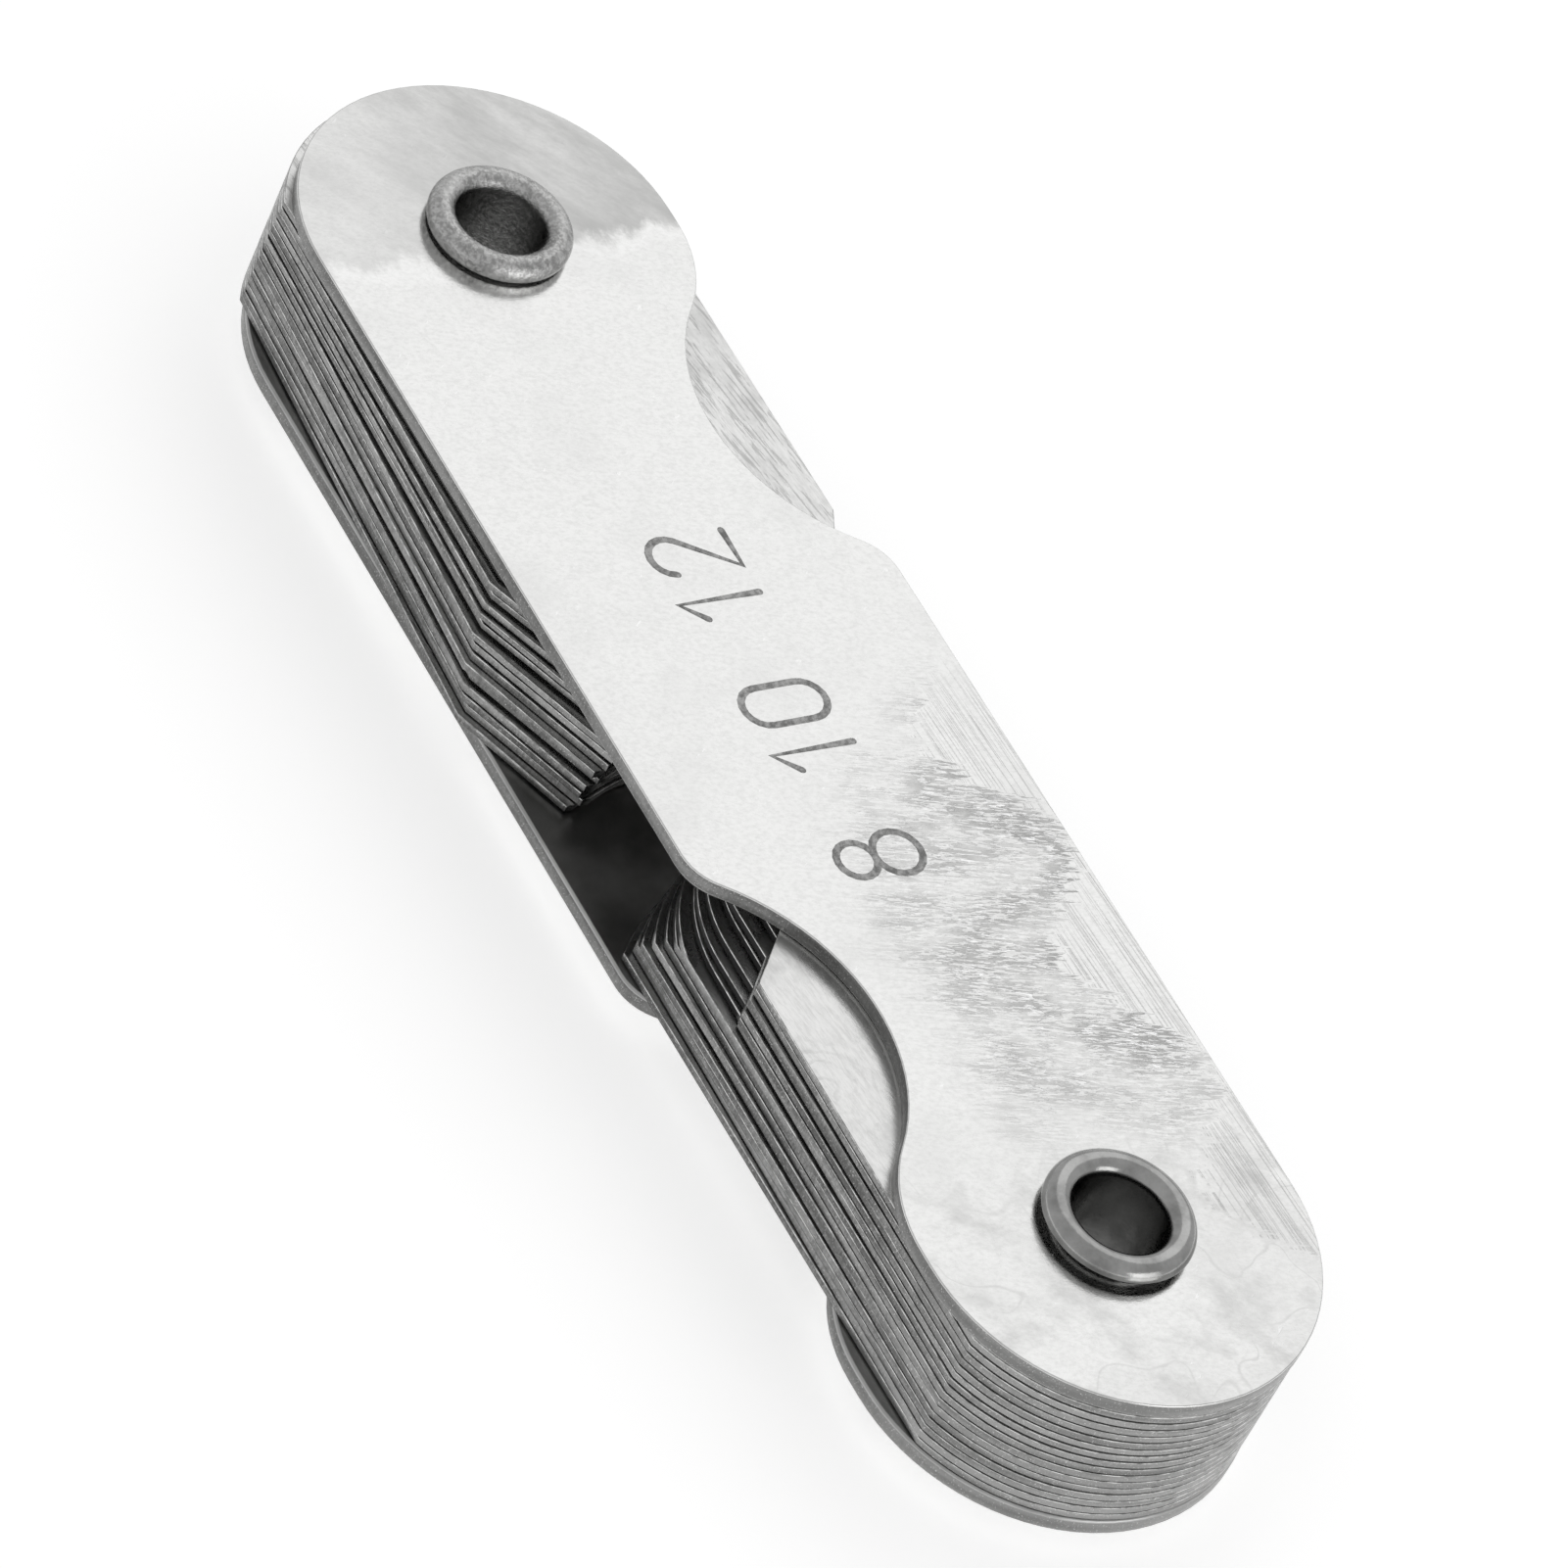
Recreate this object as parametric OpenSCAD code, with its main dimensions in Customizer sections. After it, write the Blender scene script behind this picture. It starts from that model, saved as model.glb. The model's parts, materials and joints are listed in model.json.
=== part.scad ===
// Radius gauge: two fans of rounded steel leaves that turn on hollow eyelets
// between two cover plates. Concave leaves sit on the -X eyelet, convex leaves
// on the +X eyelet. Z = 0 is the crest of the lower eyelet rolls.

/* [Holder] */
// Distance between the two eyelet centres
pivot_gap = 68; // [64:0.5:90]
// Width of both covers, which is also the diameter of their round ends
cover_w = 22; // [19:0.5:30]
// Thickness of each cover
cover_t = 1; // [0.6:0.1:2]

/* [Finger notches] */
// Distance from an eyelet centre back to the centre of its finger notch
notch_back = 15; // [12:0.5:20]
// Radius of the finger notch
notch_r = 11.7; // [8:0.1:16]
// How far the notch bites into the long edge
notch_depth = 5.5; // [2:0.1:7]
// Corner radius on the side of the notch nearer the middle
notch_inner_fillet = 3; // [0.5:0.1:6]
// Corner radius on the side of the notch nearer the eyelet
notch_outer_fillet = 9; // [1:0.1:9]

/* [Eyelets] */
// Bore radius of the hollow eyelets
eyelet_bore_r = 2.5; // [1.5:0.1:4]
// Wall thickness of the eyelets
eyelet_wall = 0.45; // [0.3:0.05:0.6]
// Outer radius of the rolled rim's cross section
roll_r = 0.775; // [0.7:0.025:1.2]
// Height of the rolled rim's centre above the cover face
roll_lift = 0.6; // [0.3:0.05:1.2]
// How far past level the rim curls down, in degrees
roll_curl = 40; // [0:1:50]
// Radial clearance of the eyelets in the covers and the leaves
hole_clear = 0.05; // [0.02:0.01:0.1]

/* [Leaves] */
// Number of leaves on each eyelet
leaf_count = 16; // [4:1:16]
// Thickness of one leaf
leaf_t = 0.5; // [0.3:0.05:1]
// Air gap between neighbours in the stack
leaf_gap = 0.025; // [0.02:0.005:0.1]
// How far a leaf's long edges lie inside the cover's edges
leaf_inset = 0.75; // [0.3:0.05:2]
// How far a convex leaf's round end lies inside the cover's round end
leaf_end_inset = 0.05; // [0:0.05:1.5]
// How far a concave leaf's round end stands out past the cover's round end
concave_overhang = 0.4; // [0:0.05:1]
// Clear space between the two fans' tips
tip_gap = 4.7; // [3.6:0.1:12]

/* [Gauge radii] */
// Smallest gauge radius, on the top leaf of both fans
radius_min = 7; // [5:0.5:7.5]
// Step from one leaf to the next
radius_step = 0.5; // [0.25:0.25:0.5]
// Length from a convex leaf's tip back to its shoulder
neck_len = 13; // [12:0.5:15]
// Half width across the prong tips of the smallest concave leaf
prong_half_min = 4.6; // [3:0.1:6]
// Growth of that half width for each millimetre of radius
prong_growth = 0.25; // [0.2:0.01:0.4]
// Width of the flat at each prong's tip
prong_land = 0.4; // [0.2:0.1:1]
// Angle of the taper beside the prongs, in degrees
prong_taper = 26.5; // [22:0.5:35]

/* [Resting swing] */
// Swing of the lowest concave leaf as the gauge lies closed, in degrees
fan_swing = 3.1; // [0:0.1:3.5]
// Unevenness from leaf to leaf, in degrees
swing_jitter = 0.55; // [0:0.05:0.6]

/* [Hidden] */
$fn = 96;
slack = 1;
cover_half = cover_w / 2;
leaf_half = cover_half - leaf_inset;
convex_end_r = cover_half - leaf_end_inset;
concave_end_r = cover_half + concave_overhang;
pivot_x = pivot_gap / 2;
reach = (pivot_gap - tip_gap) / 2;
eyelet_r = eyelet_bore_r + eyelet_wall;
hole_r = eyelet_r + hole_clear;
roll_mid_r = eyelet_bore_r + roll_r;
pitch = leaf_t + leaf_gap;
// heights, from the crest of the lower rolls upwards
bottom_cover_z = roll_lift + roll_r;
leaf_base_z = bottom_cover_z + cover_t + leaf_gap;
top_cover_z = leaf_base_z + leaf_count * pitch;
top_face_z = top_cover_z + cover_t;

function gauge_radius(i) = radius_min + i * radius_step;
// leaf 0 is the top one, right under the top cover
function leaf_z(i) = top_cover_z - (i + 1) * pitch;
// below its straight top leaf the concave fan lies swung towards -Y, and both are uneven
function uneven(i) = swing_jitter * sin(137 * i);
function concave_rest(i) = uneven(i) - fan_swing * (1 - pow(1 - i / (leaf_count - 1), 3));
function convex_rest(i) = uneven(i + 4);
function leaf_name(kind, i) = str(kind, "_leaf_", i < 9 ? "0" : "", i + 1);

// Bite for a finger, below the long edge, with both corners rounded over
module finger_notch() {
    centre = [pivot_x - notch_back, -(cover_half - notch_depth + notch_r)];
    inner_y = notch_inner_fillet - cover_half;
    outer_y = notch_outer_fillet - cover_half;
    inner_far = notch_r + notch_inner_fillet;
    outer_far = notch_r + notch_outer_fillet;
    inner = [centre.x - sqrt(pow(inner_far, 2) - pow(centre.y - inner_y, 2)), inner_y];
    outer = [centre.x + sqrt(pow(outer_far, 2) - pow(centre.y - outer_y, 2)), outer_y];
    difference() {
        union() {
            translate(centre) circle(notch_r);
            polygon([
                [inner.x, -cover_half - slack],
                [inner.x, -cover_half],
                centre + (inner - centre) * notch_r / inner_far,
                centre + (outer - centre) * notch_r / outer_far,
                [outer.x, -cover_half],
                [outer.x, -cover_half - slack]
            ]);
        }
        translate(inner) circle(notch_inner_fillet);
        translate(outer) circle(notch_outer_fillet);
    }
}

module cover_outline() {
    difference() {
        union() {
            square([pivot_gap, cover_w], center = true);
            for (side = [-1, 1]) translate([side * pivot_x, 0]) circle(cover_half);
        }
        for (turn = [0, 180]) rotate(turn) finger_notch();
        for (side = [-1, 1]) translate([side * pivot_x, 0]) circle(hole_r);
    }
}

module top_cover() {
    color("gainsboro") translate([0, 0, top_cover_z])
        linear_extrude(cover_t) cover_outline();
}

module bottom_cover() {
    color("silver") translate([0, 0, bottom_cover_z])
        linear_extrude(cover_t) cover_outline();
}

// Cross section of one curled rim, centred on the curl
module rim_section() {
    difference() {
        circle(roll_r);
        circle(roll_r - eyelet_wall);
        // left open between the tube and the curl's lip
        polygon(2 * roll_r * [
            [0, 0], [-1, 0], [-1, -1], [0, -1], [cos(roll_curl), -sin(roll_curl)]
        ]);
    }
}

// Hollow tube rolled over at both ends
module eyelet() {
    low = bottom_cover_z - roll_lift;
    high = top_face_z + roll_lift;
    rotate_extrude() {
        translate([eyelet_bore_r, low]) square([eyelet_wall, high - low]);
        translate([roll_mid_r, high]) rim_section();
        translate([roll_mid_r, low]) mirror([0, 1]) rim_section();
    }
}

module eyelet_concave_end() {
    color("dimgray") translate([-pivot_x, 0, 0]) eyelet();
}

module eyelet_convex_end() {
    color("dimgray") translate([pivot_x, 0, 0]) eyelet();
}

// Shank of a leaf, from its round end to x = length, pivot at the origin
module leaf_shank(end_r, length) {
    intersection() {
        union() {
            circle(end_r);
            translate([0, -end_r]) square([length, 2 * end_r]);
        }
        translate([-end_r, -leaf_half]) square([end_r + length, 2 * leaf_half]);
    }
}

// Outside radius: a rounded nose, on a narrower neck where the radius is small
module convex_outline(r) {
    shoulder = reach - neck_len;
    nose = min(r, leaf_half);
    // a circle wider than the leaf takes over just before the bar runs out
    bar_end = reach - r + (r > leaf_half ? sqrt(r * r - nose * nose) - slack : 0);
    difference() {
        intersection() {
            union() {
                leaf_shank(convex_end_r, shoulder);
                polygon([
                    [shoulder, leaf_half],
                    [shoulder, -leaf_half],
                    [shoulder + leaf_half - nose, -nose],
                    [reach, -nose],
                    [reach, nose],
                    [shoulder + leaf_half - nose, nose]
                ]);
            }
            union() {
                translate([reach - r, 0]) circle(r);
                translate([-convex_end_r, -convex_end_r])
                    square([convex_end_r + bar_end, 2 * convex_end_r]);
            }
        }
        circle(hole_r);
    }
}

// Inside radius: a round bite between two prongs, tapered outside
module concave_outline(r) {
    half = prong_half_min + (r - radius_min) * prong_growth;
    outside = half + prong_land;
    taper_x = reach - (leaf_half - outside) / tan(prong_taper);
    difference() {
        union() {
            leaf_shank(concave_end_r, taper_x);
            polygon([
                [taper_x, leaf_half],
                [taper_x, -leaf_half],
                [reach, -outside],
                [reach, outside]
            ]);
        }
        translate([reach + sqrt(r * r - half * half), 0]) circle(r);
        circle(hole_r);
    }
}

module concave_leaf(i) {
    color("lightslategray") translate([-pivot_x, 0, leaf_z(i)]) rotate(concave_rest(i))
        linear_extrude(leaf_t) concave_outline(gauge_radius(i));
}

module convex_leaf(i) {
    color("darkgray") translate([pivot_x, 0, leaf_z(i)]) rotate(180 + convex_rest(i))
        linear_extrude(leaf_t) convex_outline(gauge_radius(i));
}

top_cover();
bottom_cover();
eyelet_concave_end();
eyelet_convex_end();
for (i = [0 : leaf_count - 1])
    concave_leaf(i);
for (i = [0 : leaf_count - 1])
    convex_leaf(i);
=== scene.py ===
import json
import math
import bpy
from mathutils import Matrix, Vector

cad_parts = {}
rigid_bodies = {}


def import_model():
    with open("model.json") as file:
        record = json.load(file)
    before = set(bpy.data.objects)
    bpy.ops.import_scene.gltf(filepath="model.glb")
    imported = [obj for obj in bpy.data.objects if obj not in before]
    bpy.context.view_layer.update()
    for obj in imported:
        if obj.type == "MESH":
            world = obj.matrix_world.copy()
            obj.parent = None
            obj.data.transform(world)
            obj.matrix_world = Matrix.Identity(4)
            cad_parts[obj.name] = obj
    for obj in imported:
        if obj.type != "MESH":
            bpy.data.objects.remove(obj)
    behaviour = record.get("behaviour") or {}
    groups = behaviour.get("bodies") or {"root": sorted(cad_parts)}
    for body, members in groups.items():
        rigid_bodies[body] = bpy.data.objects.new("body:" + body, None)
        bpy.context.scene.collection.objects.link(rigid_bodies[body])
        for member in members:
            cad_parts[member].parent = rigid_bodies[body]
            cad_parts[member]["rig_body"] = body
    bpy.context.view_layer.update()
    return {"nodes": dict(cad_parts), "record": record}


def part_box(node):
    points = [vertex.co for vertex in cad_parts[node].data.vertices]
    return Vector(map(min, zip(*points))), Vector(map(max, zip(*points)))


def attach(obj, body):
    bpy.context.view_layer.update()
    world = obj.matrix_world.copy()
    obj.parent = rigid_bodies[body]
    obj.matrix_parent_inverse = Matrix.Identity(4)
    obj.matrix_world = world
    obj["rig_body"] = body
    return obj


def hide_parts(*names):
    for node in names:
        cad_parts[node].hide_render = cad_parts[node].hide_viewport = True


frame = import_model()
mm = 0.001

topLow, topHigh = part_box("top_cover")
bottomLow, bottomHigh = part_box("bottom_cover")
bores = {mount["name"]: mount for mount in frame["record"]["mounts"]}
concaveBore = bores["eyelet_bore_concave_end"]
convexBore = bores["eyelet_bore_convex_end"]
print("frame loaded, cover top at", round(topHigh.z / mm, 3), "mm")


# ---------------------------------------------------------------- small tools

def deselectAll():
    if bpy.context.object and bpy.context.object.mode != "OBJECT":
        bpy.ops.object.mode_set(mode="OBJECT")
    bpy.ops.object.select_all(action="DESELECT")


def selectOnly(*pieces):
    deselectAll()
    for piece in pieces:
        piece.select_set(True)
    bpy.context.view_layer.objects.active = pieces[0]


def copyOf(source, name):
    selectOnly(source)
    bpy.ops.object.duplicate()
    piece = bpy.context.object
    piece.name = name
    return piece


def copyOfNode(node, name):
    # a node's mesh is loose triangles, so its copy is welded and its flats are joined up
    frame["nodes"][node].hide_viewport = False
    piece = copyOf(frame["nodes"][node], name)
    piece.parent = None
    for key in [key for key in piece.keys() if key.startswith("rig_")]:
        del piece[key]
    bpy.ops.mesh.customdata_custom_splitnormals_clear()
    bpy.ops.object.mode_set(mode="EDIT")
    bpy.ops.mesh.select_all(action="SELECT")
    bpy.ops.mesh.remove_doubles(threshold=0.0005 * mm)
    bpy.ops.mesh.dissolve_limited(angle_limit=math.radians(0.4))
    bpy.ops.object.mode_set(mode="OBJECT")
    return piece


def breakRim(piece, level, width, segments, angle=50):
    # rounds the sharp edges that lie at one height
    selectOnly(piece)
    bpy.ops.object.mode_set(mode="EDIT")
    bpy.ops.mesh.select_mode(type="EDGE")
    bpy.ops.mesh.select_all(action="DESELECT")
    bpy.ops.mesh.edges_select_sharp(sharpness=math.radians(angle))
    bpy.ops.object.mode_set(mode="OBJECT")
    corners = piece.data.vertices
    for edge in piece.data.edges:
        if any(abs(corners[corner].co.z - level) > 0.01 * mm for corner in edge.vertices):
            edge.select = False
    bpy.ops.object.mode_set(mode="EDIT")
    bpy.ops.mesh.bevel(offset=width, segments=segments, profile=0.5, clamp_overlap=True)
    bpy.ops.mesh.select_mode(type="VERT")
    bpy.ops.object.mode_set(mode="OBJECT")


def spin(steps, angle, centre, axis):
    # the operator turns the opposite way from a right-handed angle
    bpy.ops.mesh.spin(steps=steps, angle=-angle, center=centre, axis=axis)


def applyModifier(piece, kind, **settings):
    selectOnly(piece)
    modifier = piece.modifiers.new(kind.lower(), kind)
    for key, value in settings.items():
        setattr(modifier, key, value)
    bpy.ops.object.modifier_apply(modifier=modifier.name)


def paint(piece, *finishes):
    # finishes are (material, test), and the last test that a face passes gives its finish
    piece.data.materials.clear()
    for material, _ in finishes:
        piece.data.materials.append(material)
    for face in piece.data.polygons:
        for index, (_, test) in enumerate(finishes):
            if test(face):
                face.material_index = index


def settle(piece, node):
    piece.select_set(False)
    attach(piece, frame["nodes"][node]["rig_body"])
    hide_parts(node)


# ------------------------------------------------------------------- materials

def hexColour(code):
    # sRGB hex to linear
    channels = [int(code[i:i + 2], 16) / 255 for i in (1, 3, 5)]
    linear = [c / 12.92 if c <= 0.04045 else ((c + 0.055) / 1.055) ** 2.4 for c in channels]
    return (*linear, 1)


def addNode(tree, kind, inputs=None, **settings):
    node = tree.nodes.new(kind)
    for key, value in settings.items():
        setattr(node, key, value)
    for key, value in (inputs or {}).items():
        if isinstance(value, bpy.types.NodeSocket):
            tree.links.new(value, node.inputs[key])
        else:
            node.inputs[key].default_value = value
    return node


def newMaterial(name):
    material = bpy.data.materials.new(name)
    material.use_nodes = True
    tree = material.node_tree
    tree.nodes.clear()
    return material, tree


def objectCoords(tree):
    return addNode(tree, "ShaderNodeTexCoord").outputs["Object"]


def grain(tree, coords, size, turn=0, place=(0, 0, 0), detail=3, rough=0.55, warp=0.0):
    # noise whose features are about size millimetres along x, y and z
    mapped = addNode(tree, "ShaderNodeMapping", {
        "Vector": coords, "Rotation": (0, 0, math.radians(turn)),
        "Location": [part * mm for part in place], "Scale": [part * mm for part in size],
    }, vector_type="TEXTURE")
    noise = addNode(tree, "ShaderNodeTexNoise", {
        "Vector": mapped.outputs["Vector"], "Scale": 1.0, "Detail": detail,
        "Roughness": rough, "Distortion": warp,
    })
    return noise.outputs[0]


def between(tree, value, low, high, start=0.0, end=1.0):
    # value from low to high, smoothly turned to start to end
    return addNode(tree, "ShaderNodeMapRange", {
        "Value": value, "From Min": low, "From Max": high, "To Min": start, "To Max": end,
    }, interpolation_type="SMOOTHSTEP").outputs["Result"]


def combine(tree, operation, first, second=0.0, third=0.0):
    return addNode(tree, "ShaderNodeMath", {0: first, 1: second, 2: third},
                   operation=operation).outputs[0]


def inMillimetres(tree, coords):
    axes = addNode(tree, "ShaderNodeSeparateXYZ", {"Vector": coords}).outputs
    return [combine(tree, "MULTIPLY", axes[axis], 1 / mm) for axis in ("X", "Y")]


def blendColour(tree, amount, first, second):
    return addNode(tree, "ShaderNodeMix", {0: amount, 6: first, 7: second},
                   data_type="RGBA").outputs[2]


def finishMetal(tree, colour, roughness, height, depth):
    # depth is the relief in millimetres that height 0 to 1 stands for
    bump = addNode(tree, "ShaderNodeBump", {
        "Height": height, "Strength": 1.0, "Distance": depth * mm})
    shader = addNode(tree, "ShaderNodeBsdfPrincipled", {
        "Base Color": colour, "Metallic": 1.0, "Roughness": roughness,
        "Normal": bump.outputs["Normal"]})
    addNode(tree, "ShaderNodeOutputMaterial", {"Surface": shader.outputs[0]})


coverFinish = {
    "bright": "#ECECEB", "mottle": "#DADAD9", "dull": "#B6B6B5", "streak": "#A0A09F",
    "freshAndLit": "#FFFFFF",
    "turn": -17,             # degrees that the torn marks lean from straight across
    "stainedTo": -32.6,      # millimetres along the cover
    "tornFrom": 3.0, "tornTo": 28.0, "tornLow": -4.8, "tornHigh": 8.3,
    "relief": 0.012,
}


def groundCoverSteel():
    # mild steel sheet, ground and then rubbed: bright and nearly white, with a dull stain
    # round one eyelet, a torn grey patch beside the other, long fine scratches by one edge
    # and dried rings past the patch
    finish = coverFinish
    material, tree = newMaterial("groundCoverSteel")
    coords = objectCoords(tree)
    x, y = inMillimetres(tree, coords)
    bright, mottle, dull, streak, freshAndLit = (
        hexColour(finish[key]) for key in ("bright", "mottle", "dull", "streak", "freshAndLit"))

    # the rubbed skin: fine and even, hardly directional, with a few nicks
    skin = grain(tree, coords, (0.2, 0.34, 0.3), finish["turn"], detail=4, rough=0.7)
    cloud = grain(tree, coords, (7, 7, 7), place=(3, 1, 0), detail=6, rough=0.62)
    nick = grain(tree, coords, (0.3, 1.1, 0.5), 35, place=(9, 2, 0), detail=3, rough=0.6)
    nicked = between(tree, nick, 0.68, 0.74)
    colour = blendColour(tree, between(tree, skin, 0.35, 0.75, 0, 0.8), bright, mottle)
    colour = blendColour(tree, between(tree, cloud, 0.45, 0.75, 0, 0.5), colour, mottle)
    colour = blendColour(tree, combine(tree, "MULTIPLY", nicked, 0.5), colour, freshAndLit)

    # the dull stain: its border wanders and has pale scallops along it
    wander = grain(tree, coords, (9, 5, 9), place=(20, 4, 0), detail=7, rough=0.66)
    toBorder = combine(tree, "MULTIPLY_ADD", wander, 9.0, -4.5)
    toBorder = combine(tree, "ADD", toBorder, x)
    stained = between(tree, toBorder, finish["stainedTo"] - 0.7, finish["stainedTo"] + 0.5, 1, 0)
    stainTone = grain(tree, coords, (6, 2.2, 5), 38, detail=7, rough=0.65)
    stained = combine(tree, "MULTIPLY", stained, between(tree, stainTone, 0.3, 0.72, 0.45, 1.0))
    stained = combine(tree, "MULTIPLY", stained, between(tree, y, -7, 2, 0.5, 1))
    colour = blendColour(tree, stained, colour, dull)
    scallop = combine(tree, "MULTIPLY", between(tree, toBorder, -32.4, -31.8),
                      between(tree, toBorder, -31.8, -31.0, 1, 0))
    scallop = combine(tree, "MULTIPLY", scallop, between(tree, stainTone, 0.4, 0.6, 0, 0.2))
    colour = blendColour(tree, scallop, colour, freshAndLit)

    # the torn patch: short burred streaks side by side, its ends like saw teeth; the burrs are
    # painted white as glints
    teeth = grain(tree, coords, (0.45, 7, 5), finish["turn"], place=(2, 0, 0), detail=4, rough=0.7)
    teeth = combine(tree, "MULTIPLY_ADD", teeth, 7.0, -3.5)
    wave = combine(tree, "MULTIPLY_ADD", x, math.tau / 15, -math.tau * 7.2 / 15)
    high = combine(tree, "MULTIPLY_ADD", combine(tree, "SINE", wave), 2.5, finish["tornHigh"])
    toHigh = combine(tree, "SUBTRACT", combine(tree, "ADD", high, teeth), y)
    toLow = combine(tree, "ADD", combine(tree, "SUBTRACT", y, finish["tornLow"]), teeth)
    toFrom = combine(tree, "MULTIPLY_ADD", y, 0.6, x)
    toFrom = combine(tree, "ADD", combine(tree, "SUBTRACT", toFrom, finish["tornFrom"]), teeth)
    patch = combine(tree, "MULTIPLY", between(tree, toHigh, -0.1, 0.25),
                    between(tree, toLow, -1.0, 6.0))
    patch = combine(tree, "MULTIPLY", patch, between(tree, toFrom, -1.0, 8.0))
    patch = combine(tree, "MULTIPLY", patch,
                    between(tree, x, finish["tornTo"] - 4, finish["tornTo"] + 5, 1, 0))
    crowd = between(tree, toHigh, 0, 9, 1.0, 0.62)
    gather = grain(tree, coords, (2.4, 4.5, 4), finish["turn"], place=(8, 1, 0), detail=5)
    crowd = combine(tree, "MULTIPLY", crowd, between(tree, gather, 0.36, 0.62, 0.3, 1.0))
    weight = combine(tree, "MULTIPLY", patch, crowd)
    long = grain(tree, coords, (0.17, 2.3, 2), finish["turn"], detail=3, rough=0.6)
    short = grain(tree, coords, (0.13, 0.8, 1), finish["turn"] + 5, place=(5, 5, 0), detail=3)
    burrGlint = grain(tree, coords, (0.15, 0.9, 1), finish["turn"] - 4, place=(1, 8, 0), detail=2)
    torn = combine(tree, "MAXIMUM", between(tree, long, 0.5, 0.57),
                   between(tree, short, 0.52, 0.58))
    torn = combine(tree, "MULTIPLY", torn, weight)
    glintedBurr = combine(tree, "MULTIPLY", between(tree, burrGlint, 0.53, 0.59), weight)
    colour = blendColour(tree, combine(tree, "MULTIPLY", weight, 0.24), colour, dull)
    colour = blendColour(tree, combine(tree, "MULTIPLY", torn, 0.85), colour, streak)
    # painted glints: the raised burrs are painted near white
    colour = blendColour(tree, combine(tree, "MULTIPLY", glintedBurr, 0.9), colour, freshAndLit)

    # long scratches beside the far edge, faint elsewhere
    scratch = grain(tree, coords, (22, 0.1, 3), 2, place=(7, 0, 0), detail=3, rough=0.6, warp=0.15)
    farEdge = combine(tree, "MAXIMUM", between(tree, toHigh, 0, -0.6), 0.06)
    farEdge = combine(tree, "MULTIPLY", farEdge, between(tree, x, -3, 4, 0.2, 1))
    scratched = combine(tree, "MULTIPLY", between(tree, scratch, 0.53, 0.62), farEdge)
    colour = blendColour(tree, combine(tree, "MULTIPLY", scratched, 0.2), colour, streak)

    # dried rings and a smear past the patch
    pool = grain(tree, coords, (6.5, 6.5, 6.5), place=(5, 9, 0), detail=2, rough=0.45, warp=0.6)
    ring = combine(tree, "ABSOLUTE", combine(tree, "SUBTRACT", pool, 0.5))
    inside = between(tree, pool, 0.5, 0.56, 0, 0.12)
    smear = combine(tree, "MAXIMUM", between(tree, ring, 0.0, 0.014, 0.32, 0), inside)
    smudge = grain(tree, coords, (4, 2.6, 4), 50, place=(2, 7, 0), detail=6, rough=0.6)
    smear = combine(tree, "MAXIMUM", smear, between(tree, smudge, 0.42, 0.75, 0, 0.6))
    smear = combine(tree, "MULTIPLY", smear, between(tree, x, 25, 33))
    colour = blendColour(tree, smear, colour, dull)

    roughness = between(tree, cloud, 0.3, 0.7, 0.13, 0.2)
    roughness = combine(tree, "MULTIPLY_ADD", torn, 0.12, roughness)
    height = combine(tree, "MULTIPLY_ADD", nicked, 0.4, combine(tree, "MULTIPLY", skin, 0.6))
    height = combine(tree, "MULTIPLY_ADD", scratched, -0.5, height)
    height = combine(tree, "MULTIPLY_ADD", torn, -1.0, height)
    height = combine(tree, "MULTIPLY_ADD", glintedBurr, 1.0, height)
    finishMetal(tree, colour, roughness, height, finish["relief"])
    return material


def innerOilAndShadeSteel():
    # the covers' inside faces, unground and filmed with oil, and painted a darker grey than the
    # outer faces as painted shade where they face each other
    material, tree = newMaterial("innerOilAndShadeSteel")
    coords = objectCoords(tree)
    film = grain(tree, coords, (6, 6, 6), detail=5, rough=0.6)
    fine = grain(tree, coords, (0.15, 5, 3), -12, detail=4, rough=0.7)
    colour = blendColour(tree, between(tree, film, 0.35, 0.7), hexColour("#A6A6A5"),
                         hexColour("#C4C4C3"))
    finishMetal(tree, colour, between(tree, film, 0.3, 0.7, 0.28, 0.42), fine, 0.003)
    return material


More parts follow.
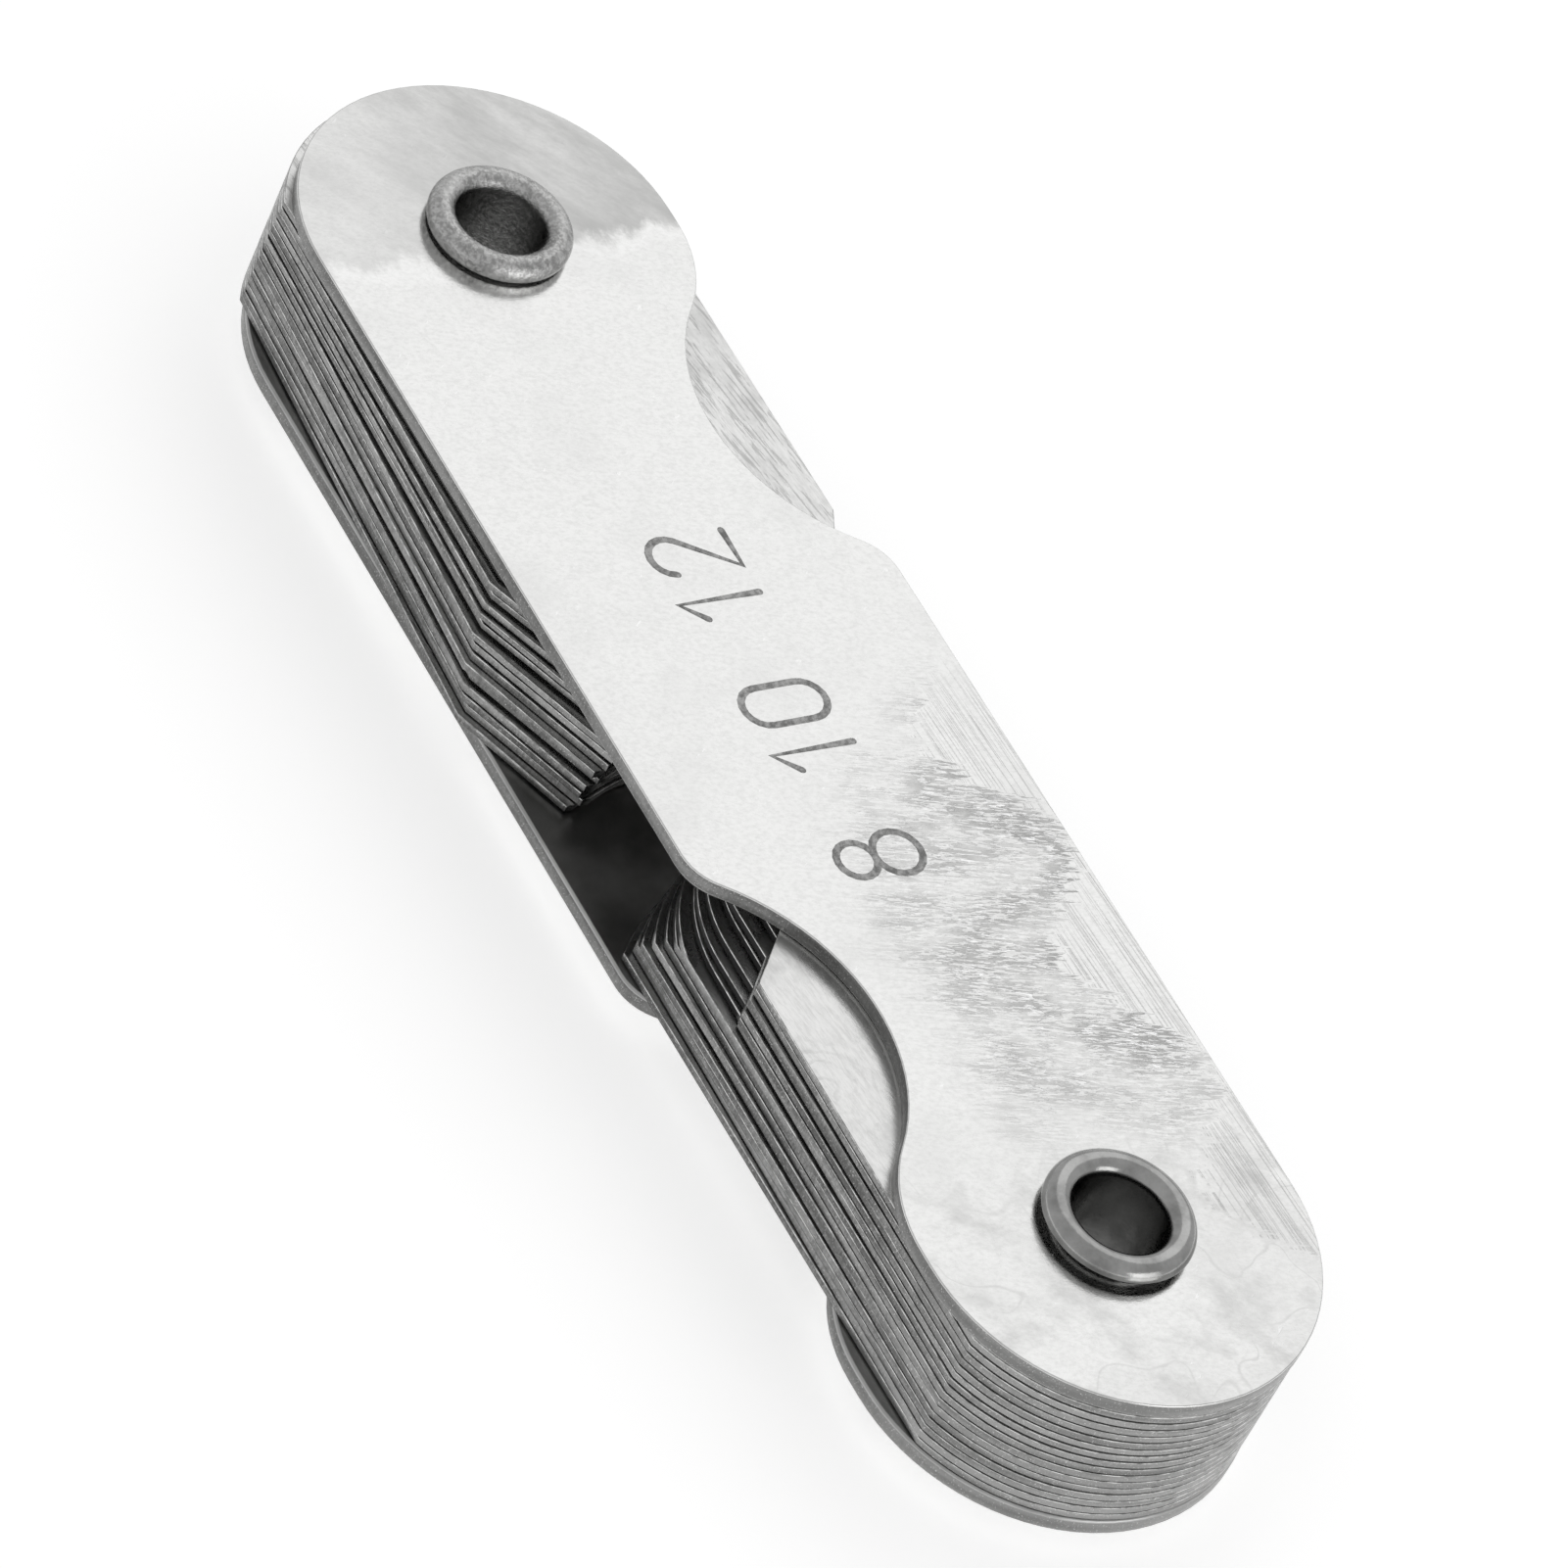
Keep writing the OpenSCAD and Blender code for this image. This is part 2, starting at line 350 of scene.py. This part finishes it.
def shearedEdgeSteel(name, light, dark, freshAndLit, neckShade=None):
    # edges as the blanking press left them: grey and rough, with upright tear marks and painted
    # glints;
    # they carry painted light at the convex end, and the milled necks between the tips are painted
    # dark as shade in the recess
    material, tree = newMaterial(name)
    coords = objectCoords(tree)
    x, y = inMillimetres(tree, coords)
    tears = grain(tree, coords, (0.16, 0.16, 0.8), detail=4, rough=0.75)
    blotch = grain(tree, coords, (1.6, 1.6, 0.6), detail=6, rough=0.7)
    speckAndGlint = grain(tree, coords, (0.09, 0.09, 0.09), detail=2, rough=0.6)
    layer = grain(tree, coords, (14, 14, 0.7), place=(0, 0, 3), detail=2, rough=0.5)
    tone = combine(tree, "MULTIPLY_ADD", layer, 0.9, combine(tree, "MULTIPLY_ADD", tears, 0.5, -0.2))
    colour = blendColour(tree, between(tree, tone, 0.3, 0.7), hexColour(dark), hexColour(light))
    colour = blendColour(tree, between(tree, blotch, 0.45, 0.7, 0, 0.5), colour,
                         hexColour(dark))
    # painted light: the edges are painted lighter towards the convex end
    litEnd = combine(tree, "MULTIPLY", between(tree, x, 26, 44),
                      between(tree, layer, 0.3, 0.7, 0.4, 1.0))
    colour = blendColour(tree, litEnd, colour, hexColour(freshAndLit))
    # painted glints: pale specks on the edges, which also give a small bump
    colour = blendColour(tree, between(tree, speckAndGlint, 0.62, 0.7, 0, 0.6), colour,
                         hexColour("#F2F2F1"))
    # painted shade: the necks between the tips are painted near black
    if neckShade:
        shadedNeck = combine(tree, "MULTIPLY", between(tree, x, 14.6, 15.2, 1, 0),
                         between(tree, x, 0, 0.5))
        fromMiddle = combine(tree, "ABSOLUTE", y)
        shadedNeck = combine(tree, "MULTIPLY", shadedNeck, between(tree, fromMiddle, 9.9, 10.15, 1, 0))
        colour = blendColour(tree, shadedNeck, colour, hexColour(neckShade))
    height = combine(tree, "MULTIPLY_ADD", speckAndGlint, 0.4, tears)
    finishMetal(tree, colour, between(tree, blotch, 0.3, 0.7, 0.32, 0.46), height, 0.01)
    return material


def groundLeafSteel():
    # hardened spring steel strip, ground flat: pale, with round rub marks where the
    # neighbouring leaf turns on it, and jagged scratches along it
    material, tree = newMaterial("groundLeafSteel")
    coords = objectCoords(tree)
    x, y = inMillimetres(tree, coords)
    fine = grain(tree, coords, (0.9, 0.2, 0.5), 6, detail=4, rough=0.7)
    cloud = grain(tree, coords, (4, 4, 4), detail=6, rough=0.65)
    colour = blendColour(tree, between(tree, fine, 0.35, 0.75, 0, 0.7), hexColour("#E4E4E3"),
                         hexColour("#C8C8C7"))
    colour = blendColour(tree, between(tree, cloud, 0.48, 0.7, 0, 0.55), colour,
                         hexColour("#BDBDBC"))
    # rub marks: rings round a spot near the notch of the convex end
    fromSpot = [combine(tree, "SUBTRACT", axis, centre) for axis, centre in ((x, 22.1), (y, -10))]
    squares = [combine(tree, "MULTIPLY", axis, axis) for axis in fromSpot]
    radius = combine(tree, "SQRT", combine(tree, "ADD", *squares))
    jitter = grain(tree, coords, (1.4, 1.4, 1.4), place=(4, 2, 0), detail=3)
    rings = combine(tree, "SINE", combine(tree, "MULTIPLY_ADD", jitter, 14.0,
                                          combine(tree, "MULTIPLY", radius, 8.5)))
    rubbed = combine(tree, "MULTIPLY", between(tree, rings, 0.2, 1.0),
                     between(tree, radius, 0.3, 4.5, 1, 0))
    rubbed = combine(tree, "MULTIPLY", rubbed, between(tree, cloud, 0.4, 0.6, 0.25, 1))
    colour = blendColour(tree, combine(tree, "MULTIPLY", rubbed, 0.65), colour,
                         hexColour("#B0B0AF"))
    # jagged scratches on the concave leaves
    jag = grain(tree, coords, (2.6, 0.22, 1), 8, place=(3, 3, 0), detail=4, rough=0.65, warp=0.3)
    jagged = combine(tree, "MULTIPLY", between(tree, jag, 0.53, 0.62),
                     between(tree, x, -14, -8, 1, 0.1))
    colour = blendColour(tree, combine(tree, "MULTIPLY", jagged, 0.55), colour,
                         hexColour("#9C9C9B"))
    height = combine(tree, "MULTIPLY_ADD", jagged, -0.8, fine)
    height = combine(tree, "MULTIPLY_ADD", rubbed, -0.5, height)
    finishMetal(tree, colour, between(tree, cloud, 0.3, 0.7, 0.2, 0.34), height, 0.006)
    return material


def burnishedRimHighlightSteel():
    # a leaf's upper corner, painted bright as a highlight along the rim, with some wear from
    # handling: a thin pale line
    material, tree = newMaterial("burnishedRimHighlightSteel")
    coords = objectCoords(tree)
    rimWearAndGlint = grain(tree, coords, (0.9, 0.9, 0.9), detail=5, rough=0.7)
    colour = blendColour(tree, between(tree, rimWearAndGlint, 0.35, 0.65), hexColour("#8C8C8B"),
                         hexColour("#E4E4E3"))
    finishMetal(tree, colour, 0.22, rimWearAndGlint, 0.01)
    return material


def gapOilAndShadeSteel():
    # a leaf's lower corner, painted dark as the shade between the leaves, with some old oil and
    # dust: a dark line
    material, tree = newMaterial("gapOilAndShadeSteel")
    coords = objectCoords(tree)
    dirt = grain(tree, coords, (1.2, 1.2, 0.4), detail=5, rough=0.65)
    x, y = inMillimetres(tree, coords)
    colour = blendColour(tree, between(tree, dirt, 0.35, 0.7), hexColour("#151515"),
                         hexColour("#3C3C3B"))
    # painted light: the dark line is painted lighter towards the convex end
    colour = blendColour(tree, between(tree, x, 28, 42, 0, 0.7), colour, hexColour("#6A6A69"))
    finishMetal(tree, colour, between(tree, dirt, 0.3, 0.7, 0.4, 0.6), dirt, 0.01)
    return material


def rolledEyeletSteel():
    # steel tube, nickel washed and rolled over: darker than the covers, with a grainy
    # stretched skin on the outside of the roll and painted sparkles on it
    material, tree = newMaterial("rolledEyeletSteel")
    coords = objectCoords(tree)
    axes = addNode(tree, "ShaderNodeSeparateXYZ", {"Vector": coords}).outputs
    skin = grain(tree, coords, (0.28, 0.28, 0.28), detail=5, rough=0.7)
    cloud = grain(tree, coords, (2.5, 2.5, 2.5), detail=4, rough=0.6)
    # the concave end's roll is the coarser one
    coarse = between(tree, axes["X"], -0.02, 0.02, 1.0, 0.12)
    paintedSparkle = combine(tree, "MULTIPLY", between(tree, skin, 0.4, 0.62), coarse)
    colour = blendColour(tree, between(tree, cloud, 0.35, 0.7), hexColour("#B2B2B1"),
                         hexColour("#8E8E8D"))
    # painted sparkle: pale specks stand in for glints on the coarse roll
    colour = blendColour(tree, combine(tree, "MULTIPLY", paintedSparkle, 0.6), colour,
                         hexColour("#E0E0DF"))
    finishMetal(tree, colour, between(tree, cloud, 0.3, 0.7, 0.13, 0.22),
                combine(tree, "MULTIPLY", skin, coarse), 0.05)
    return material


def cutGrooveSteel():
    # bottoms of the engraved strokes: grey from the cutter, with dirt left in them
    material, tree = newMaterial("cutGrooveSteel")
    coords = objectCoords(tree)
    dirt = grain(tree, coords, (0.4, 0.4, 0.4), detail=5, rough=0.7)
    colour = blendColour(tree, between(tree, dirt, 0.35, 0.65), hexColour("#C8C8C7"),
                         hexColour("#8E8E8D"))
    finishMetal(tree, colour, between(tree, dirt, 0.3, 0.7, 0.35, 0.5), dirt, 0.02)
    return material


coverFace = groundCoverSteel()
innerFaceAndShade = innerOilAndShadeSteel()
# the third colour is the painted light at the convex end
coverEdge = shearedEdgeSteel("shearedCoverEdge", "#8E8E8D", "#6A6A69", "#9A9A99")
# the leaf edges' last colour is the painted shade in the necks
leafEdge = shearedEdgeSteel("shearedLeafEdge", "#A2A2A1", "#5C5C5B", "#A2A2A1", "#2E2E2E")
leafFace = groundLeafSteel()
# the leaf rim finish is a painted highlight along the upper corners, with some wear
leafRimHighlight = burnishedRimHighlightSteel()
# the leaf gap finish is painted shade between the leaves, with some oil
leafGapOilAndShade = gapOilAndShadeSteel()
eyeletSkin = rolledEyeletSteel()
grooveSteel = cutGrooveSteel()
print("materials made:", len(bpy.data.materials))


# ------------------------------------------------------------ engraved numbers

# strokes of each figure in a box 0.5 wide and 1 high: a start, then lines to a point
# and arcs given as (centre x, centre y, degrees turned)
figures = {
    "0": [[(0, 0.25), (0, 0.75), (0.25, 0.75, -180), (0.5, 0.25), (0.25, 0.25, -180)]],
    "1": [[(0.08, 0.76), (0.32, 1), (0.32, 0)]],
    "2": [[(0.02, 0.8), (0.26, 0.76, -205), (0, 0), (0.5, 0)]],
    "3": [[(0.03, 0.87), (0.24, 0.77, -244), (0.24, 0.27, -240)]],
    "4": [[(0.38, 0), (0.38, 1), (0, 0.3), (0.54, 0.3)]],
    "5": [[(0.46, 1), (0.08, 1), (0.04, 0.52), (0.23, 0.3, -245)]],
    "7": [[(0, 1), (0.5, 1), (0.18, 0)]],
    "8": [[(0.25, 0.55), (0.25, 0.775, 360), (0.25, 0.275, 360)]],
    "9": [[(0.47, 0.72), (0.25, 0.75, 360), (0.12, 0)]],
    ".": [[(0.02, 0), (0.05, 0.05)]],
}
figureWidth = {"1": 0.5, ".": 0.12}


def drawStroke(stroke, size):
    # one vertex pushed and spun along the stroke
    bpy.ops.mesh.primitive_plane_add(size=0.1 * size)
    bpy.ops.object.mode_set(mode="EDIT")
    bpy.ops.mesh.merge(type="CENTER")
    bpy.ops.transform.translate(value=(stroke[0][0] * size, stroke[0][1] * size, 0))
    pen = Vector((*stroke[0], 0))
    for move in stroke[1:]:
        if len(move) == 2:
            step = Vector((*move, 0)) - pen
            bpy.ops.mesh.extrude_region_move(TRANSFORM_OT_translate={"value": step * size})
            pen = Vector((*move, 0))
        else:
            centre, angle = Vector((move[0], move[1], 0)), math.radians(move[2])
            spin(max(4, round(abs(move[2]) / 20)), angle, centre * size, (0, 0, 1))
            pen = centre + Matrix.Rotation(angle, 3, "Z") @ (pen - centre)
    bpy.ops.object.mode_set(mode="OBJECT")
    return Vector((*stroke[0], 0)) * size, pen * size


def makeFigureCutter(sign, size, radius):
    # a round bar along each stroke, with a ball at both ends
    bars = []
    for stroke in figures[sign]:
        deselectAll()
        ends = drawStroke(stroke, size)
        bar = bpy.context.object
        bpy.ops.object.convert(target="CURVE")
        bar.data.bevel_depth = radius
        bar.data.bevel_resolution = 2
        bar.data.use_fill_caps = True
        bpy.ops.object.convert(target="MESH")
        bars.append(bpy.context.object)
        for end in ends:
            bpy.ops.mesh.primitive_uv_sphere_add(segments=10, ring_count=6, radius=radius,
                                                 location=end)
            bars.append(bpy.context.object)
    selectOnly(*bars)
    bpy.ops.object.join()
    bpy.ops.object.transform_apply(location=True, rotation=True, scale=True)
    cutter = bpy.context.object
    cutter.name = "cutter_" + str(ord(sign)) + "_" + str(round(size / mm * 10))
    return cutter


figureCutters = {}


def makeNumberCutter(text, size, radius, spacing):
    # the figures of one number side by side, centred on the origin
    copies, at = [], 0.0
    for sign in text:
        if sign != " ":
            key = (sign, size)
            if key not in figureCutters:
                figureCutters[key] = makeFigureCutter(sign, size, radius)
            figure = copyOf(figureCutters[key], "figure")
            figure.location.x = at
            copies.append(figure)
        at += (figureWidth.get(sign, 0.5) + spacing) * size
    total = at - spacing * size
    selectOnly(*copies)
    if len(copies) > 1:
        bpy.ops.object.join()
    number = bpy.context.object
    number.location = (0, 0, 0)
    bpy.ops.object.transform_apply(location=True, rotation=True, scale=True)
    number.data.transform(Matrix.Translation((-total / 2, -size / 2, 0)))
    number.data.materials.append(grooveSteel)
    return number


def engrave(piece, text, style, place, turn):
    number = makeNumberCutter(text, style["size"], style["cutter"], style["spacing"])
    lift = Vector((0, 0, style["cutter"] - style["depth"]))
    number.data.transform(Matrix.Translation(Vector(place) + lift) @ Matrix.Rotation(turn, 4, "Z"))
    applyModifier(piece, "BOOLEAN", operation="DIFFERENCE", solver="EXACT", object=number,
                  use_self=True, material_mode="TRANSFER")
    bpy.data.objects.remove(number)


# ---------------------------------------------------------------------- covers

cover = {
    # the wide lower break carries the painted shade line under the top cover
    "upperBreak": 0.07 * mm, "lowerBreak": 0.16 * mm,
    "number": "8 10 12", "numberAt": (-0.4 * mm, -0.3 * mm), "numberTurn": math.radians(180),
    "figures": {"size": 5.0 * mm, "cutter": 0.3 * mm, "depth": 0.1 * mm, "spacing": 0.19},
}


def makeCover(node, name, outward):
    piece = copyOfNode(node, name)
    low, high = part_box(node)
    outer, inner = (high.z, low.z) if outward > 0 else (low.z, high.z)
    breakRim(piece, outer, cover["upperBreak"], 2)
    breakRim(piece, inner, cover["lowerBreak"], 2)
    # the inner finish is painted shade as well as oil: it darkens the inside faces and the lower
    # bevel under the top cover
    paint(piece, (coverEdge, lambda face: True),
          (coverFace, lambda face: face.normal.z * outward > 0.3),
          (innerFaceAndShade, lambda face: face.normal.z * outward < -0.3))
    selectOnly(piece)
    bpy.ops.object.shade_smooth_by_angle(angle=math.radians(50))
    for face in piece.data.polygons:
        if abs(face.normal.z) > 0.99:
            face.use_smooth = False
    return piece


topCover = makeCover("top_cover", "top_cover_plate", 1)
engrave(topCover, cover["number"], cover["figures"], (*cover["numberAt"], topHigh.z),
        cover["numberTurn"])
settle(topCover, "top_cover")
bottomCover = makeCover("bottom_cover", "bottom_cover_plate", -1)
settle(bottomCover, "bottom_cover")
print("covers made, top cover has", len(topCover.data.polygons), "faces")


# --------------------------------------------------------------------- eyelets

eyelet = {
    "wall": 0.45 * mm, "rollRadius": 0.775 * mm, "turns": 96,
    "curlPast": {"eyelet_concave_end": 38, "eyelet_convex_end": 8},   # degrees below level
    "lipBreak": 0.12 * mm,
    "inside": 0.002 * mm,   # keeps the crests within the CAD part's height
}


def makeEyelet(node, name, bore):
    low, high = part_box(node)
    centreX = bore["pos_m"][0]
    boreRadius = bore["dims"]["r_mm"] * mm
    curl = eyelet["rollRadius"] - eyelet["wall"] / 2
    rollX = centreX + boreRadius + eyelet["rollRadius"]
    upper = high.z - eyelet["rollRadius"] - eyelet["inside"]
    lower = low.z + eyelet["rollRadius"] + eyelet["inside"]
    past = math.radians(eyelet["curlPast"][node])
    sweep = math.pi + past
    deselectAll()
    bpy.ops.mesh.primitive_plane_add(size=0.1 * mm)
    piece = bpy.context.object
    piece.name = name
    bpy.ops.object.mode_set(mode="EDIT")
    bpy.ops.mesh.merge(type="CENTER")
    # the lip of the upper curl, over its crest, down the bore and round the lower curl
    bpy.ops.transform.translate(value=(rollX + curl * math.cos(past), 0,
                                       upper - curl * math.sin(past)))
    spin(22, -sweep, (rollX, 0, upper), (0, 1, 0))
    bpy.ops.mesh.extrude_region_move(TRANSFORM_OT_translate={"value": (0, 0, lower - upper)})
    spin(22, -sweep, (rollX, 0, lower), (0, 1, 0))
    bpy.ops.mesh.select_all(action="SELECT")
    spin(eyelet["turns"], 2 * math.pi, (centreX, 0, 0), (0, 0, 1))
    bpy.ops.mesh.select_all(action="SELECT")
    bpy.ops.mesh.remove_doubles(threshold=0.002 * mm)
    bpy.ops.mesh.normals_make_consistent(inside=False)
    bpy.ops.object.mode_set(mode="OBJECT")
    applyModifier(piece, "SOLIDIFY", thickness=eyelet["wall"], offset=0,
                  use_even_offset=True)
    applyModifier(piece, "BEVEL", width=eyelet["lipBreak"], segments=3, limit_method="ANGLE",
                  angle_limit=math.radians(60))
    selectOnly(piece)
    bpy.ops.object.shade_smooth()
    bpy.ops.object.mode_set(mode="EDIT")
    bpy.ops.mesh.select_all(action="SELECT")
    bpy.ops.mesh.normals_make_consistent(inside=False)
    bpy.ops.object.mode_set(mode="OBJECT")
    paint(piece, (eyeletSkin, lambda face: True))
    settle(piece, node)
    return piece


for node, bore in (("eyelet_concave_end", concaveBore), ("eyelet_convex_end", convexBore)):
    made = makeEyelet(node, node + "_tube", bore)
    print(node, "made with", len(made.data.polygons), "faces")


# ---------------------------------------------------------------------- leaves

leaf = {
    "upperBreak": 0.05 * mm,
    # the lower breaks carry the painted shade between the leaves, so their uneven widths make uneven
    # dark lines
    "lowerBreak": {"concave": 0.11 * mm, "convex": 0.09 * mm},
    "unevenBreak": {"concave": 0.07 * mm, "convex": 0.04 * mm},
    "smallest": 7, "step": 0.5, "numbered": True,
    "numberFromPivot": 9.5 * mm,
    "figures": {"size": 3.2 * mm, "cutter": 0.17 * mm, "depth": 0.06 * mm, "spacing": 0.2},
}


def makeLeaf(node, kind, index, bore, pointing):
    piece = copyOfNode(node, node + "_ground")
    low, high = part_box(node)
    uneven = math.sin(2.3 * index * index + 0.7)
    breakRim(piece, high.z, leaf["upperBreak"], 2)
    breakRim(piece, low.z, leaf["lowerBreak"][kind] + leaf["unevenBreak"][kind] * uneven, 1)
    # upper corners take a painted highlight, and lower corners the painted shade between the leaves
    paint(piece, (leafEdge, lambda face: True),
          (leafRimHighlight, lambda face: face.normal.z > 0.2),
          (leafFace, lambda face: abs(face.normal.z) > 0.99),
          (leafGapOilAndShade, lambda face: -0.99 < face.normal.z < -0.2))
    selectOnly(piece)
    bpy.ops.object.shade_smooth_by_angle(angle=math.radians(40))
    for face in piece.data.polygons:
        if abs(face.normal.z) > 0.99:
            face.use_smooth = False
    if leaf["numbered"]:
        size = leaf["smallest"] + leaf["step"] * index
        middle = (bore["pos_m"][0] + pointing * leaf["numberFromPivot"], bore["pos_m"][1], high.z)
        engrave(piece, f"{size:g}", leaf["figures"], middle, math.radians(90 * pointing))
    settle(piece, node)
    return piece


for kind, bore, pointing in (("concave", concaveBore, 1), ("convex", convexBore, -1)):
    nodes = sorted(node for node in frame["nodes"] if node.startswith(kind + "_leaf"))
    for index, node in enumerate(nodes):
        made = makeLeaf(node, kind, index, bore, pointing)
    print(kind, "leaves made:", len(nodes), "last has", len(made.data.polygons), "faces")

for cutter in figureCutters.values():
    bpy.data.objects.remove(cutter)


# ------------------------------------------------------ camera, lights and floor

camera = {
    "lens": 180.97, "distance": 396.68 * mm, "azimuth": 41.413, "elevation": 43.129,
    "roll": 27.193, "aim": (4.54 * mm, -3.09 * mm),
}
azimuth, elevation = math.radians(camera["azimuth"]), math.radians(camera["elevation"])
back = Vector((math.sin(azimuth) * math.cos(elevation),
               -math.cos(azimuth) * math.cos(elevation), math.sin(elevation)))
deselectAll()
bpy.ops.object.camera_add(location=Vector((*camera["aim"], topHigh.z)) + back * camera["distance"])
cameraObject = bpy.context.object
cameraObject.rotation_mode = "QUATERNION"
turned = Matrix.Rotation(math.radians(camera["roll"]), 3, "Z").to_quaternion()
cameraObject.rotation_quaternion = (-back).to_track_quat("-Z", "Y") @ turned
cameraObject.data.lens = camera["lens"]
cameraObject.data.sensor_width = 36
cameraObject.data.clip_start = 0.01
cameraObject.data.clip_end = 20
bpy.context.scene.camera = cameraObject

studio = {
    "world": 0.58, "floorTone": "#E6E6E6", "floorSize": 6.0, "floorSeen": 0.52,
    # name, direction from the part, distance, size, radiance
    "lamps": [
        ("overhead_softbox", (-0.48, 0.55, 0.70), 0.8, 0.64, 0.47),
        ("side_softbox", (1.0, 0.25, 0.2), 0.7, 0.42, 1.6),
    ],
}
for name, direction, distance, size, radiance in studio["lamps"]:
    aim = Vector(direction).normalized()
    deselectAll()
    bpy.ops.object.light_add(type="AREA", location=aim * distance)
    lamp = bpy.context.object
    lamp.name = name
    lamp.rotation_mode = "QUATERNION"
    lamp.rotation_quaternion = aim.to_track_quat("Z", "Y")
    lamp.data.shape = "SQUARE"
    lamp.data.size = size
    lamp.data.energy = radiance * math.pi * size * size

world = bpy.data.worlds.new("paleRoom")
world.use_nodes = True
bpy.context.scene.world = world
tree = world.node_tree
tree.nodes.clear()
glow = addNode(tree, "ShaderNodeBackground", {
    "Color": (1, 1, 1, 1), "Strength": studio["world"]})
addNode(tree, "ShaderNodeOutputWorld", {"Surface": glow.outputs[0]})

material, tree = newMaterial("paleFloorPaint")
rays = addNode(tree, "ShaderNodeLightPath").outputs
seen = combine(tree, "MAXIMUM", rays["Is Camera Ray"], rays["Is Glossy Ray"])
seen = combine(tree, "MAXIMUM", seen, rays["Is Transmission Ray"])
lift = addNode(tree, "ShaderNodeMapRange", {
    "Value": seen, "To Min": 0.0, "To Max": studio["floorSeen"]})
paintTone = addNode(tree, "ShaderNodeBsdfDiffuse", {"Color": hexColour(studio["floorTone"])})
glow = addNode(tree, "ShaderNodeEmission", {
    "Color": (1, 1, 1, 1), "Strength": lift.outputs["Result"]})
both = addNode(tree, "ShaderNodeAddShader", {0: paintTone.outputs[0], 1: glow.outputs[0]})
addNode(tree, "ShaderNodeOutputMaterial", {"Surface": both.outputs[0]})
deselectAll()
bpy.ops.mesh.primitive_plane_add(size=studio["floorSize"], location=(0, 0, -0.02 * mm))
floor = bpy.context.object
floor.name = "studio_floor"
floor.data.materials.append(material)
bpy.context.scene.view_settings.view_transform = "Standard"
print("camera, lamps and floor placed")
